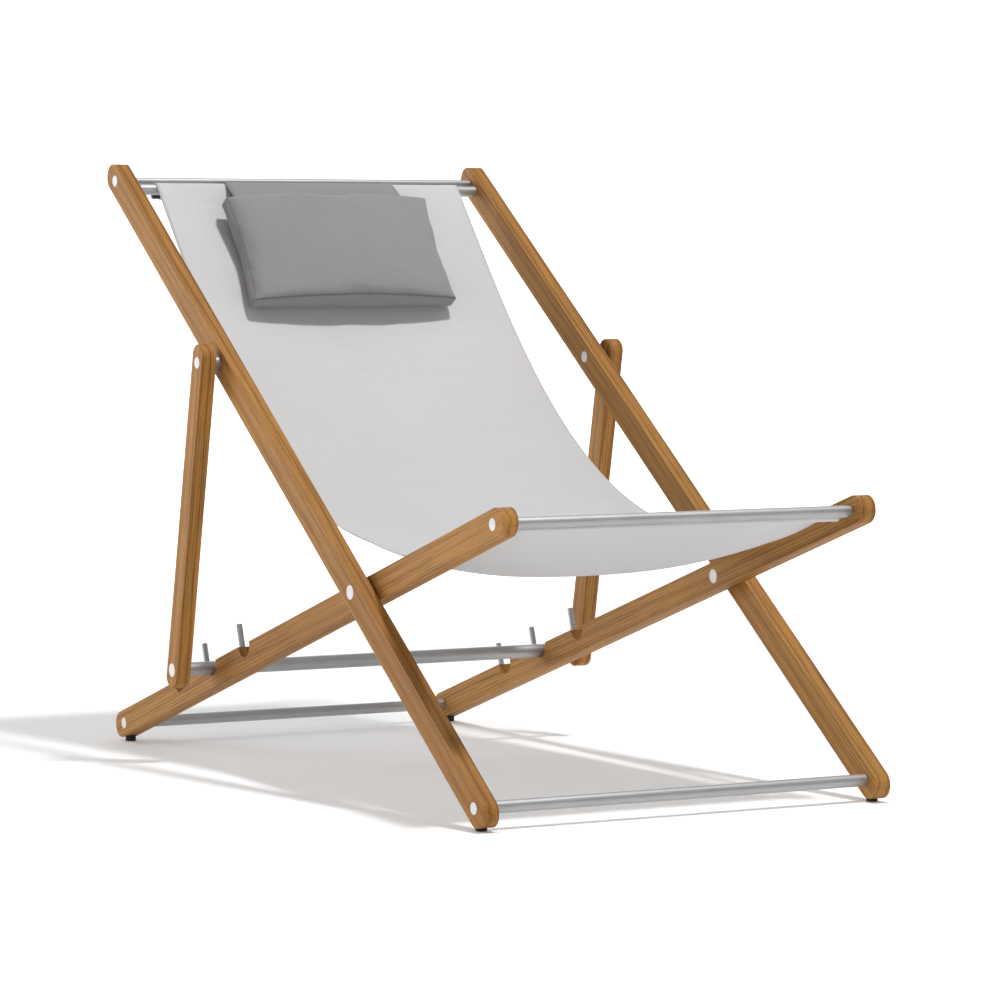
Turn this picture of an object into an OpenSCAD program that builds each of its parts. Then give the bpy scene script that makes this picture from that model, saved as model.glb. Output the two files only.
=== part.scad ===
// Folding deck chair: two crossed timber frames, a prop with three seat angles,
// a fabric sling and a head pillow. Millimetres, +Z up, the front faces -Y,
// origin on the ground in the middle of the chair.

/* [Chair] */
// Width over the outer faces of the back rails
frame_w = 600; // [540:10:680]
// Height of the frame pivots above the ground
pivot_z = 271; // [270:1:272]
// Angle of the back rails above level
back_tilt = 36.5; // [36.4:0.1:36.6]
// Slope of the seat rails, down to the rear
seat_slope = 17.8; // [17.7:0.1:17.9]

/* [Timber] */
// Thickness of every rail and prop
rail_t = 22; // [22:1:24]
// Depth of the back and seat rails
rail_w = 37; // [36:0.5:38]
// Depth of the props
prop_w = 33; // [30:1:35]
// Gap between a back rail and a seat rail
frame_gap = 4; // [3:0.5:6]
// Gap between a back rail and a prop
prop_gap = 10.5; // [9:0.5:14]
// How far the round end's centre lies beyond the last fixing
end_run = 9; // [8:1:10]

/* [Back frame, distances along the rail from the frame pivot] */
// To the front foot tube
foot_run = 408; // [400:1:412]
// To the prop pivot
prop_run = 482; // [475:1:490]
// To the tube that carries the sling
sling_run = 883; // [870:1:890]
// From the sling tube, or the seat front tube, to the thin bar beside it
bar_step = 20; // [19:0.5:22]

/* [Seat frame, distances along the rail from the frame pivot] */
// To the seat front tube
front_run = 345; // [340:1:350]
// To the rear foot tube
rear_run = 800; // [790:1:805]
// Middle of each notch
notch_runs = [378, 489, 596]; // [370:1:600]
// Each stop pin
pin_runs = [405, 522, 625]; // [400:1:630]
// Radius of a notch
notch_r = 17; // [15:0.5:18]
// Depth of a notch below the rail's top edge
notch_depth = 18; // [16:0.5:19]
// Height of the stop pins above the rail's top edge
pin_rise = 34; // [25:1:40]

/* [Metalwork] */
// Diameter of the cross tubes
tube_d = 16; // [14:0.5:18]
// Diameter of the prop tube
prop_tube_d = 19; // [17:0.5:20]
// Bore of every tube
tube_bore = 12.8; // [11:0.2:13]
// Diameter of the thin bars beside the sling tubes
bar_d = 10; // [8:0.5:12]
// Diameter of the stop pins
pin_d = 8; // [6:0.5:9]
// Diameter of the pivot bolts
bolt_d = 10; // [8:0.5:11]
// Diameter of the caps over the pivots
pivot_cap_d = 19; // [18:0.5:20]

/* [Sling and pillow] */
// Width of the sling
sling_w = 480; // [440:5:484]
// Thickness of the sling cloth
cloth_t = 1.4; // [1:0.1:2]
// Width of the head pillow
pillow_w = 318; // [260:2:360]
// Height of the head pillow, from its top seam to its bottom seam
pillow_h = 171; // [150:1:180]
// Thickness of the head pillow in the middle
pillow_t = 48; // [40:1:52]
// Slope of the head pillow, a little steeper than the sling behind it
pillow_slope = 51.5; // [48:0.5:51.5]

/* [Hidden] */
$fn = 48;

teak = "#b5833f";
steel = "#b9bbbd";
cap_white = "#e8e8e8";
black = "#222222";
canvas = "#d2d2d2";
grey = "#8f8f8f";

// Layers across the chair, right-hand side
back_x = frame_w / 2 - rail_t;
seat_x = back_x - frame_gap - rail_t;
prop_x = frame_w / 2 + prop_gap;
prop_out = prop_x + rail_t;

back_mid = back_x + rail_t / 2;
seat_mid = seat_x + rail_t / 2;

// How a fixing is sunk in a rail, measured from the face that the cap closes
cap_t = 2.5;
cap_d = tube_d;
sink = 8;
web = 4;
socket = 10;
past = 1;

// Screws, inserts, bolts and nuts
screw_d = 6;
screw_grip = 22;
head_d = 10;
head_t = 4;
key_d = 4.6;
key_depth = 2.4;
insert_l = 24;
nut_d = 15;
frame_nut_d = 16;
prop_head_d = 14;
spacer_d = 18;
washer_d = 26;
bolt_end = 3.5;

// Running fit, gap behind a turning face, gap between round faces that never touch
run_fit = 0.05;
turn_gap = 0.25;
part_gap = 0.3;

// Feet and their screws
foot_d = 15;
foot_h = 14;
foot_screw_d = 4;
foot_screw_top = 17.4;
foot_head_d = 8.4;
foot_head_t = 1.8;
foot_recess = 3.2;

// Lower end of the stop pins above the seat rail's centre line
pin_root = 4;

// The frame pivots, set so that the seat rails' ends are equally far from the middle
pivot_y = -(rear_run - front_run) / 2 * cos(seat_slope);

// The prop tube leans on the rear of the middle notch
notch_h = rail_w / 2 - notch_depth + notch_r;
lean = 26;
rest_r = notch_r - prop_tube_d / 2 - part_gap;
tube_s = notch_runs[1] + rest_r * sin(lean);
tube_h = notch_h - rest_r * cos(lean);

// Points in the side view, as [y, z]
function along_back(s, h = 0) = [pivot_y + s * cos(back_tilt) - h * sin(back_tilt),
    pivot_z + s * sin(back_tilt) + h * cos(back_tilt)];
function along_seat(s, h = 0) = [pivot_y + s * cos(seat_slope) + h * sin(seat_slope),
    pivot_z - s * sin(seat_slope) + h * cos(seat_slope)];
prop_foot = along_seat(tube_s, tube_h);
prop_top = along_back(prop_run);
prop_l = norm(prop_top - prop_foot);
prop_tilt = atan2(prop_top[1] - prop_foot[1], prop_top[0] - prop_foot[0]);
tube_at = along_back(sling_run);
bar_at = along_seat(bar_step - front_run);
front_foot_y = along_back(-foot_run)[0];
rear_foot_y = along_seat(rear_run)[0];

// The sling's line in the side view: one smooth curve from the sling tube to the front bar
sling_top = tube_at + (tube_d + cloth_t) / 2 * [-sin(back_tilt), cos(back_tilt)];
sling_end = bar_at + [0, (bar_d + cloth_t) / 2];
top_pull = 516 * [cos(47), sin(47)];
end_pull = 407 * [cos(24), -sin(24)];
sling_mid_sag = 42;
sag_onset = 0.75;
crease = 0.68;
sling_trim = 0.005;
crease_trim = 0.001;
back_steps = 16;
seat_steps = 8;
function curve(t) = pow(1 - t, 3) * sling_top + 3 * pow(1 - t, 2) * t * (sling_top - top_pull)
    + 3 * (1 - t) * t * t * (sling_end + end_pull) + pow(t, 3) * sling_end
    - [0, sling_mid_sag * pow(sin(180 * t), sag_onset)];
function heading(t) = let (d = curve(t + 0.001) - curve(t - 0.001)) d / norm(d);
function side(t, off) = curve(t) + off * [-heading(t)[1], heading(t)[0]];
function strip(t0, t1, off, n) = [for (i = [0:n]) side(t0 + (t1 - t0) * i / n, off)];
function turned(list) = [for (i = [len(list) - 1:-1:0]) list[i]];

// The rods in the sling's two sleeves
rod_d = 7;
top_rod_l = 500;
front_rod_l = 476;
top_rod = tube_at + [9.6, -9.9];
front_rod = bar_at + [-9.4, -2.2];

// The pillow lies on the sling, from just below the sling tube
pillow_top = 0.029;
pillow_off = 10;
pillow_bevel = 4;
pillow_edge_t = 26;
pillow_at = side(pillow_top, -pillow_off);

// Its flap hangs behind the sling tube, with a weight in the hem
flap_w = 290;
flap_t = 1.6;
flap_gap = 3.5;
flap_start = 14;
flap_drop = 130;
weight_d = 16;
weight_inset = 10;

// ---- placing ----

// Lays a side-view outline across the chair, t thick, from x
module slab(x, t) {
    translate([x, 0, 0]) rotate([90, 0, 90]) linear_extrude(t) children();
}

module rod(x0, x1, d) {
    translate([x0, 0, 0]) rotate([0, 90, 0]) cylinder(h = x1 - x0, d = d);
}

module on_back(s = 0, h = 0) {
    translate([0, pivot_y, pivot_z]) rotate([back_tilt, 0, 0]) translate([0, s, h]) children();
}

module on_seat(s = 0, h = 0) {
    translate([0, pivot_y, pivot_z]) rotate([-seat_slope, 0, 0]) translate([0, s, h]) children();
}

module on_prop(s = 0) {
    translate([0, prop_foot[0], prop_foot[1]]) rotate([prop_tilt, 0, 0])
        translate([0, s, 0]) children();
}

module both() {
    children();
    mirror([1, 0, 0]) children();
}

module left() {
    mirror([1, 0, 0]) children();
}

// ---- repeated shapes ----

// A straight rail with full round ends, from run a to run b
module rail_outline(a, b, w) {
    translate([a, -w / 2]) square([b - a, w]);
    for (s = [a, b]) translate([s, 0]) circle(d = w);
}

// Sunk hole for a cap and screw from the outer face, and the socket for a tube
module fixing(outer, d_cap, d_tube) {
    rod(outer - sink, outer + past, d_cap);
    rod(outer - sink - web - past, outer - sink + past, screw_d);
    rod(outer - rail_t - past, outer - sink - web, d_tube);
}

module tube(half, d) {
    difference() {
        rod(-half, half, d);
        rod(-half - past, half + past, tube_bore);
    }
}

// Threaded insert pressed in a tube's end that lies at x
module insert(x) {
    difference() {
        rod(x - insert_l, x, tube_bore);
        rod(x - screw_grip, x + past, screw_d);
    }
}

// Screw whose head lies on the floor of a sunk hole in the face at x
module screw(x) {
    difference() {
        union() {
            rod(x - sink, x - sink + head_t, head_d);
            rod(x - sink - screw_grip, x - sink, screw_d);
        }
        translate([x - sink + head_t - key_depth, 0, 0]) rotate([0, 90, 0])
            cylinder(h = key_depth + past, d = key_d, $fn = 6);
    }
}

module cap(x, d) {
    rod(x - cap_t, x, d);
}

// Rubber foot under a rail, with a recess for the head of the screw that holds it
module foot(x, y) {
    difference() {
        translate([x, y, 0]) cylinder(h = foot_h, d = foot_d);
        translate([x, y, -past]) cylinder(h = foot_recess + past, d = foot_head_d);
        translate([x, y, 0]) cylinder(h = foot_h + past, d = foot_screw_d);
    }
}

module foot_hole(x, y) {
    translate([x, y, -past]) cylinder(h = foot_h + past, d = foot_d);
    translate([x, y, 0]) cylinder(h = foot_screw_top, d = foot_screw_d);
}

module foot_screw(x, y) {
    translate([x, y, foot_recess - foot_head_t]) cylinder(h = foot_head_t, d = foot_head_d);
    translate([x, y, foot_recess]) cylinder(h = foot_screw_top - foot_recess, d = foot_screw_d);
}

// ---- back frame ----

module back_rail_right() {
    color(teak) difference() {
        on_back() slab(back_x, rail_t)
            rail_outline(-foot_run - end_run, sling_run + bar_step + end_run, rail_w);
        on_back(-foot_run) fixing(frame_w / 2, cap_d, tube_d);
        on_back(sling_run + bar_step) fixing(frame_w / 2, cap_d, bar_d);
        on_back(sling_run) rod(back_x - past, back_x + socket, tube_d);
        on_back() rod(back_x - past, frame_w / 2 + past, bolt_d + 2 * run_fit);
        on_back() rod(frame_w / 2 - sink, frame_w / 2 + past, pivot_cap_d);
        on_back(prop_run) rod(back_x - past, frame_w / 2 + past, bolt_d);
        on_back(prop_run) rod(back_x - past, back_x + sink, cap_d);
        foot_hole(back_mid, front_foot_y);
    }
}

module back_rail_left() {
    left() back_rail_right();
}

module top_bar() {
    half = back_x + socket;
    color(steel) on_back(sling_run + bar_step) difference() {
        rod(-half, half, bar_d);
        both() rod(half - screw_grip, half + past, screw_d);
    }
}

module sling_tube() {
    color(steel) on_back(sling_run) tube(back_x + socket, tube_d);
}

module front_foot_tube() {
    color(steel) on_back(-foot_run) tube(back_x + socket, tube_d);
}

module back_tube_inserts() {
    color(steel) both() on_back(-foot_run) insert(back_x + socket);
}

module back_bar_screws() {
    color(steel) both() for (s = [-foot_run, sling_run + bar_step]) on_back(s) screw(frame_w / 2);
}

module back_caps() {
    color(cap_white) both() {
        for (s = [-foot_run, sling_run + bar_step]) on_back(s) cap(frame_w / 2, cap_d);
        on_back() cap(frame_w / 2, pivot_cap_d);
        on_back(prop_run) cap(back_x + cap_t, cap_d);
    }
}

module prop_spacers() {
    color(steel) both() on_back(prop_run) difference() {
        rod(frame_w / 2, prop_x - part_gap, spacer_d);
        rod(frame_w / 2 - past, prop_x, bolt_d);
    }
}

module prop_pivot_bolts() {
    color(steel) both() on_back(prop_run) rod(back_x + bolt_end, prop_x - part_gap, bolt_d);
}

module prop_pivot_nuts() {
    color(steel) both() on_back(prop_run) difference() {
        rod(back_x + sink - head_t, back_x + sink, nut_d);
        rod(back_x, back_x + sink + past, bolt_d);
    }
}

module front_feet() {
    color(black) both() foot(back_mid, front_foot_y);
}

module front_foot_screws() {
    color(steel) both() foot_screw(back_mid, front_foot_y);
}

// ---- seat frame ----

// A notch's outline, open at the top
module notch() {
    translate([0, notch_h]) circle(r = notch_r);
    translate([-notch_r, notch_h]) square([2 * notch_r, notch_r]);
}

module seat_rail_right() {
    color(teak) difference() {
        on_seat() slab(seat_x, rail_t) difference() {
            rail_outline(-front_run - end_run, rear_run + end_run, rail_w);
            for (s = notch_runs) translate([s, 0]) notch();
        }
        for (s = [-front_run, rear_run]) on_seat(s) fixing(seat_x + rail_t, cap_d, tube_d);
        on_seat(bar_step - front_run) rod(seat_x - past, seat_x + socket, bar_d);
        on_seat() rod(seat_x - past, seat_x + rail_t + past, bolt_d);
        on_seat() rod(seat_x - past, seat_x + sink, pivot_cap_d);
        for (s = pin_runs) on_seat(s, pin_root) translate([seat_mid, 0, 0])
            cylinder(h = rail_w, d = pin_d);
        foot_hole(seat_mid, rear_foot_y);
    }
}

module seat_rail_left() {
    left() seat_rail_right();
}

module seat_front_tube() {
    color(steel) on_seat(-front_run) tube(seat_x + socket, tube_d);
}

module seat_front_bar() {
    color(steel) on_seat(bar_step - front_run) rod(-seat_x - socket, seat_x + socket, bar_d);
}

module rear_foot_tube() {
    color(steel) on_seat(rear_run) tube(seat_x + socket, tube_d);
}

module stop_pins_right() {
    color(steel) for (s = pin_runs) on_seat(s, pin_root) translate([seat_mid, 0, 0])
        cylinder(h = rail_w / 2 - pin_root + pin_rise, d = pin_d);
}

module stop_pins_left() {
    left() stop_pins_right();
}

module seat_tube_inserts() {
    color(steel) both() for (s = [-front_run, rear_run]) on_seat(s) insert(seat_x + socket);
}

module seat_tube_screws() {
    color(steel) both() for (s = [-front_run, rear_run]) on_seat(s) screw(seat_x + rail_t);
}

module seat_caps() {
    color(cap_white) both() {
        for (s = [-front_run, rear_run]) on_seat(s) cap(seat_x + rail_t, cap_d);
        on_seat() cap(seat_x + cap_t, pivot_cap_d);
    }
}

module frame_pivot_bolts() {
    color(steel) both() on_seat() {
        rod(seat_x + bolt_end, frame_w / 2 - sink + turn_gap + head_t / 2, bolt_d);
        rod(frame_w / 2 - sink + turn_gap, frame_w / 2 - sink + turn_gap + head_t, nut_d);
    }
}

module frame_pivot_nuts() {
    color(steel) both() on_seat() difference() {
        rod(seat_x + sink - head_t, seat_x + sink, frame_nut_d);
        rod(seat_x, seat_x + sink + past, bolt_d);
    }
}

module frame_pivot_washers() {
    color(black) both() on_seat() difference() {
        rod(seat_x + rail_t, back_x - turn_gap, washer_d);
        rod(seat_x + rail_t - past, back_x, bolt_d);
    }
}

module rear_feet() {
    color(black) both() foot(seat_mid, rear_foot_y);
}

module rear_foot_screws() {
    color(steel) both() foot_screw(seat_mid, rear_foot_y);
}

// ---- prop ----

module prop_right() {
    color(teak) difference() {
        on_prop() slab(prop_x, rail_t) rail_outline(-end_run, prop_l + end_run, prop_w);
        on_prop() fixing(prop_out, prop_tube_d, prop_tube_d);
        on_prop(prop_l) rod(prop_x - past, prop_out + past, bolt_d);
        on_prop(prop_l) rod(prop_out - sink, prop_out + past, cap_d);
    }
}

module prop_left() {
    left() prop_right();
}

module prop_tube() {
    color(steel) on_prop() tube(prop_x + socket, prop_tube_d);
}

module prop_tube_inserts() {
    color(steel) both() on_prop() insert(prop_x + socket);
}

module prop_tube_screws() {
    color(steel) both() on_prop() screw(prop_out);
}

// The outer half of each prop pivot: a head and a stub in the prop
module prop_pivot_heads() {
    color(steel) both() on_prop(prop_l) {
        rod(prop_x + part_gap, prop_out - sink, bolt_d);
        rod(prop_out - sink, prop_out - sink + head_t, prop_head_d);
    }
}

module prop_caps() {
    color(cap_white) both() {
        on_prop() cap(prop_out, prop_tube_d);
        on_prop(prop_l) cap(prop_out, cap_d);
    }
}

// ---- sling and pillow ----

module sling_part(t0, t1, n) {
    slab(-sling_w / 2, sling_w)
        polygon(concat(strip(t0, t1, cloth_t / 2, n), turned(strip(t0, t1, -cloth_t / 2, n))));
}

module sling_back() {
    color(canvas) sling_part(sling_trim, crease - crease_trim, back_steps);
}

module sling_seat() {
    color(canvas) sling_part(crease + crease_trim, 1 - sling_trim, seat_steps);
}

module sling_rod_top() {
    color(black) translate([0, top_rod[0], top_rod[1]]) rod(-top_rod_l / 2, top_rod_l / 2, rod_d);
}

module sling_rod_front() {
    color(black) translate([0, front_rod[0], front_rod[1]])
        rod(-front_rod_l / 2, front_rod_l / 2, rod_d);
}

// A soft block with a crowned front, lying on the sling
module head_pillow() {
    w = pillow_w / 2;
    color(grey) translate([0, pillow_at[0], pillow_at[1]]) rotate([180 + pillow_slope, 0, 0])
        translate([0, pillow_h, 0]) rotate([90, 0, 0]) linear_extrude(pillow_h)
            polygon([[-w, 0], [w, 0], [w - pillow_bevel, -pillow_edge_t], [w / 2, -pillow_t],
                [-w / 2, -pillow_t], [pillow_bevel - w, -pillow_edge_t]]);
}

// The flap hangs behind the sling tube and holds the weight
module pillow_flap() {
    color(grey) slab(-flap_w / 2, flap_w)
        translate(tube_at + [tube_d / 2 + flap_gap, -flap_drop])
            square([flap_t, flap_drop - flap_start]);
}

module flap_weight() {
    half = flap_w / 2 - weight_inset;
    color(grey) translate([0, tube_at[0] + tube_d / 2 + flap_gap, tube_at[1] - flap_drop - weight_d / 2])
        rod(-half, half, weight_d);
}

back_rail_left();
back_rail_right();
top_bar();
sling_tube();
front_foot_tube();
back_tube_inserts();
back_bar_screws();
back_caps();
prop_spacers();
prop_pivot_bolts();
prop_pivot_nuts();
front_feet();
front_foot_screws();
seat_rail_left();
seat_rail_right();
seat_front_tube();
seat_front_bar();
rear_foot_tube();
stop_pins_left();
stop_pins_right();
seat_tube_inserts();
seat_tube_screws();
seat_caps();
frame_pivot_bolts();
frame_pivot_nuts();
frame_pivot_washers();
rear_feet();
rear_foot_screws();
prop_left();
prop_right();
prop_tube();
prop_tube_inserts();
prop_tube_screws();
prop_pivot_heads();
prop_caps();
sling_back();
sling_seat();
sling_rod_top();
sling_rod_front();
head_pillow();
pillow_flap();
flap_weight();
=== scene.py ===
"""The finished pieces of a folding deck chair.

Oiled teak rails, brushed steel tubes, a woven sling and a padded head pillow, on the chair's own frame.
"""
import math

import bmesh
import bpy
from bpy.props import FloatProperty, FloatVectorProperty, IntProperty, PointerProperty
from mathutils import Matrix, Vector, noise
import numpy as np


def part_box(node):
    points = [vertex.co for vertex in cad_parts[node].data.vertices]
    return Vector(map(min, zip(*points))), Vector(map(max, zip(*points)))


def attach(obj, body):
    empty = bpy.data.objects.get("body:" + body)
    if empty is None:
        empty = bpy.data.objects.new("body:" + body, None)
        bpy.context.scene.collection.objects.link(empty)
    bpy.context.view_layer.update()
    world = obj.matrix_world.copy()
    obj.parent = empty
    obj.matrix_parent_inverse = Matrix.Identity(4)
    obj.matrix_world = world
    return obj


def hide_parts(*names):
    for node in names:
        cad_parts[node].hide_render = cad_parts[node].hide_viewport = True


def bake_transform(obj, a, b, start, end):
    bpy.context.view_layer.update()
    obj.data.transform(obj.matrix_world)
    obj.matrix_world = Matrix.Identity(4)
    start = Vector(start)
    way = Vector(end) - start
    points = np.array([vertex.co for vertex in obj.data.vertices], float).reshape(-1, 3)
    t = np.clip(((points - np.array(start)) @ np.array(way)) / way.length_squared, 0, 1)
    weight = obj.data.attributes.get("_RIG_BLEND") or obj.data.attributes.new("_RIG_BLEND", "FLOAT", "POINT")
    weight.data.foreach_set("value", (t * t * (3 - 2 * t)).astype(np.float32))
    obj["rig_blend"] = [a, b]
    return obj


bl_info = {
    "name": "Folding Deck Chair",
    "version": (1, 0, 0),
    "blender": (4, 5, 0),
    "location": "View3D > Sidebar > Deck Chair",
    "description": "Builds the finished pieces of a folding deck chair on its frame",
    "category": "Add Mesh",
}

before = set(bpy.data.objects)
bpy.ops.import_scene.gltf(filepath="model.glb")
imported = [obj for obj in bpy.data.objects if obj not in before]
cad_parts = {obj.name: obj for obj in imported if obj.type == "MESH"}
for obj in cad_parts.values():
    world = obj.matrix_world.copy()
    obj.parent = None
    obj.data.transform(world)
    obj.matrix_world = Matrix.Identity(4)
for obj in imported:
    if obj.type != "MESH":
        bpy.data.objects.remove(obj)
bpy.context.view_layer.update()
MM = 0.001
SEAT, BACK, PROP = "seat_frame", "back_frame", "prop_frame"


# ---- sizes and colours ----

def colour(name, text, value):
    return FloatVectorProperty(name=name, description=text, default=(*value, 1), size=4, subtype="COLOR",
                               min=0, max=1)


def length(name, text, value, low=0.0, high=2.0):
    return FloatProperty(name=name, description=text, default=value, min=low, max=high, unit="LENGTH",
                         subtype="DISTANCE")


class TimberSettings(bpy.types.PropertyGroup):
    """Rails and props"""
    arris: length("Arris", "Rounding of the long edges", 2.4 * MM, 0.5 * MM, 3 * MM)
    rim: length("Rim", "Rounding round the sunk holes", 0.5 * MM, 0.1 * MM, 1 * MM)
    light: colour("Early wood", "Colour of the pale wood", (0.49, 0.238, 0.056))
    middle: colour("Heart wood", "Colour between the grain lines", (0.350, 0.152, 0.030))
    dark: colour("Grain line", "Colour of the dark grain lines", (0.090, 0.033, 0.009))
    ring: length("Ring spacing", "Distance between growth rings", 5.0 * MM, 2 * MM, 20 * MM)


class MetalSettings(bpy.types.PropertyGroup):
    """Tubes, bars, pins and caps"""
    steel: colour("Steel", "Colour of the brushed steel", (0.52, 0.523, 0.53))
    cap: colour("Cap", "Colour of the caps", (0.74, 0.74, 0.74))
    rubber: colour("Rubber", "Colour of the feet, washers and rods", (0.018, 0.018, 0.019))
    edge: length("Edge", "Rounding of turned edges", 0.6 * MM, 0.1 * MM, 2 * MM)
    sides: IntProperty(name="Sides", description="Facets round a turned piece", default=40, min=12, max=96)


class ClothSettings(bpy.types.PropertyGroup):
    """Sling, pillow and flap"""
    canvas: colour("Canvas", "Colour of the sling", (0.62, 0.62, 0.623))
    grey: colour("Pillow cloth", "Colour of the head pillow", (0.285, 0.285, 0.285))
    thick: length("Cloth thickness", "Thickness of the sling in its hems", 1.4 * MM, 0.5 * MM, 3 * MM)
    hem: length("Hem", "Width of the side hems", 14 * MM, 5 * MM, 30 * MM)
    slack: length("Edge sag", "How far the sling's edges hang behind the sitter's back", 29 * MM, 0, 50 * MM)
    sag: length("Sag", "How far the sling's middle hangs below its edges", 41 * MM, 0, 60 * MM)
    pitch: length("Weave", "Distance between two threads", 1.0 * MM, 0.3 * MM, 3 * MM)


# ---- places on the frame ----

def middle(node):
    low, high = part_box(node)
    return (low + high) / 2


def side(point):
    """A point in the side view, as (y, z)."""
    return Vector((point.y, point.z))


def reach(node):
    """Half the height of a round bar's box: its radius."""
    low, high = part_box(node)
    return (high.z - low.z) / 2


def ray(degrees):
    return Vector((math.cos(math.radians(degrees)), math.sin(math.radians(degrees))))


def solids(node):
    """The box of each separate solid in a node, as (low, high) corners."""
    bm = merged(node)
    unseen, found = set(bm.verts), []
    while unseen:
        island, waiting = set(), [unseen.pop()]
        while waiting:
            vert = waiting.pop()
            island.add(vert)
            for other in (edge.other_vert(vert) for edge in vert.link_edges):
                if other in unseen:
                    unseen.remove(other)
                    waiting.append(other)
        points = [v.co for v in island]
        found.append((Vector([min(p[i] for p in points) for i in range(3)]),
                      Vector([max(p[i] for p in points) for i in range(3)])))
    bm.free()
    return sorted(found, key=lambda box: tuple(box[0]))


PIVOT = side(middle("frame_pivot_bolts"))
BACK_TILT = math.atan2(*(side(middle("sling_tube")) - PIVOT).yx)
SEAT_TILT = math.atan2(*(side(middle("rear_foot_tube")) - PIVOT).yx)
PROP_TILT = math.atan2(*(side(middle("prop_pivot_heads")) - side(middle("prop_tube"))).yx)


# ---- making meshes ----

def merged(node):
    """A copy of a node's mesh with its doubles merged."""
    bm = bmesh.new()
    bm.from_mesh(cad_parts[node].data)
    bmesh.ops.remove_doubles(bm, verts=bm.verts, dist=0.01 * MM)
    return bm


def poured(part, bm):
    """Adds a small bmesh to a bigger one."""
    mesh = bpy.data.meshes.new("part")
    part.to_mesh(mesh)
    part.free()
    bm.from_mesh(mesh)
    bpy.data.meshes.remove(mesh)


def turned(bm, outline, place, sides=40):
    """Spins an outline of (along, radius) points about the local Z axis, then moves it to its place."""
    part = bmesh.new()
    verts = [part.verts.new((radius, 0, along)) for along, radius in outline]
    edges = [part.edges.new(pair) for pair in zip(verts, verts[1:])]
    bmesh.ops.spin(part, geom=verts + edges, cent=(0, 0, 0), axis=(0, 0, 1), dvec=(0, 0, 0),
                   angle=math.tau, steps=sides, use_merge=True, use_duplicate=False)
    bmesh.ops.remove_doubles(part, verts=part.verts, dist=0.005 * MM)
    bmesh.ops.recalc_face_normals(part, faces=part.faces)
    bmesh.ops.transform(part, matrix=place, verts=part.verts)
    poured(part, bm)


def across(point):
    """The place of a turned piece whose axis runs across the chair through a side-view point."""
    return Matrix.Translation((0, point.x, point.y)) @ Matrix.Rotation(math.pi / 2, 4, "Y")


def rounded_end(at, radius, edge, inward, steps=3):
    """Outline points of a flat end with a rounded edge. inward is +1 if the piece lies towards +along."""
    corner = [(at + inward * edge * (1 - math.cos(a)), radius - edge * (1 - math.sin(a)))
              for a in (math.pi / 2 * i / steps for i in range(steps + 1))]
    return [(at, 0), *corner]


def bar_outline(low, high, radius, edge):
    """A solid round bar with rounded ends."""
    return rounded_end(low, radius, edge, 1) + rounded_end(high, radius, edge, -1)[::-1]


def tube_outline(low, high, radius, bore, edge):
    """A tube's wall as a closed outline."""
    outer = rounded_end(low, radius, edge, 1)[1:] + rounded_end(high, radius, edge, -1)[:0:-1]
    return [(low, bore), *outer, (high, bore), (low, bore)]


def shade(bm, sharp=38):
    """Smooth faces, with edges sharper than an angle left crisp."""
    for face in bm.faces:
        face.smooth = True
    for edge in bm.edges:
        edge.smooth = len(edge.link_faces) != 2 or edge.calc_face_angle(0) < math.radians(sharp)


def piece(name, bm, finish, replaced=(), even=True):
    """Makes the bmesh an object with its finish, and hides the nodes it stands for."""
    shade(bm)
    mesh = bpy.data.meshes.new(name)
    bm.to_mesh(mesh)
    bm.free()
    made = bpy.data.objects.new(name, mesh)
    bpy.context.scene.collection.objects.link(made)
    mesh.materials.append(finish)
    if even:
        made.modifiers.new("Even normals", "WEIGHTED_NORMAL").keep_sharp = True
    if replaced:
        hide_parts(*replaced)
    return made


# ---- finishes ----

class Value:
    """A number that changes over a surface: arithmetic on it adds Math nodes."""

    def __init__(self, finish, socket):
        self.finish, self.socket = finish, socket

    def math(self, operation, *others):
        inputs = dict(enumerate((self, *others)))
        made = self.finish.node("ShaderNodeMath", {"operation": operation}, inputs)
        return Value(self.finish, made.outputs[0])

    def __add__(self, other):
        return self.math("ADD", other)

    def __mul__(self, other):
        return self.math("MULTIPLY", other)

    def __sub__(self, other):
        return self.math("SUBTRACT", other)

    def __rsub__(self, other):
        return self * -1 + other

    def __pow__(self, other):
        return self.math("POWER", other)

    __radd__ = __add__
    __rmul__ = __mul__

    def sine(self):
        return self.math("SINE")

    def size(self):
        return self.math("ABSOLUTE")

    def between(self, low, high):
        """0 below low, 1 above high, and smooth between them."""
        settings = {"interpolation_type": "SMOOTHSTEP"}
        made = self.finish.node("ShaderNodeMapRange", settings, {0: self, 1: low, 2: high})
        return Value(self.finish, made.outputs[0])


class Nodes:
    """An emptied node tree, with one method that adds every kind of node."""

    def __init__(self, owner):
        owner.use_nodes = True
        self.tree = owner.node_tree
        self.tree.nodes.clear()

    def node(self, kind, settings, inputs):
        """Adds a node of a type, with its settings first and then its sockets' values or links."""
        made = self.tree.nodes.new(kind)
        for key, value in settings.items():
            setattr(made, key, value)
        for key, value in inputs.items():
            source = value.socket if isinstance(value, Value) else value
            if isinstance(source, bpy.types.NodeSocket):
                self.tree.links.new(source, made.inputs[key])
            else:
                made.inputs[key].default_value = source
        return made


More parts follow.
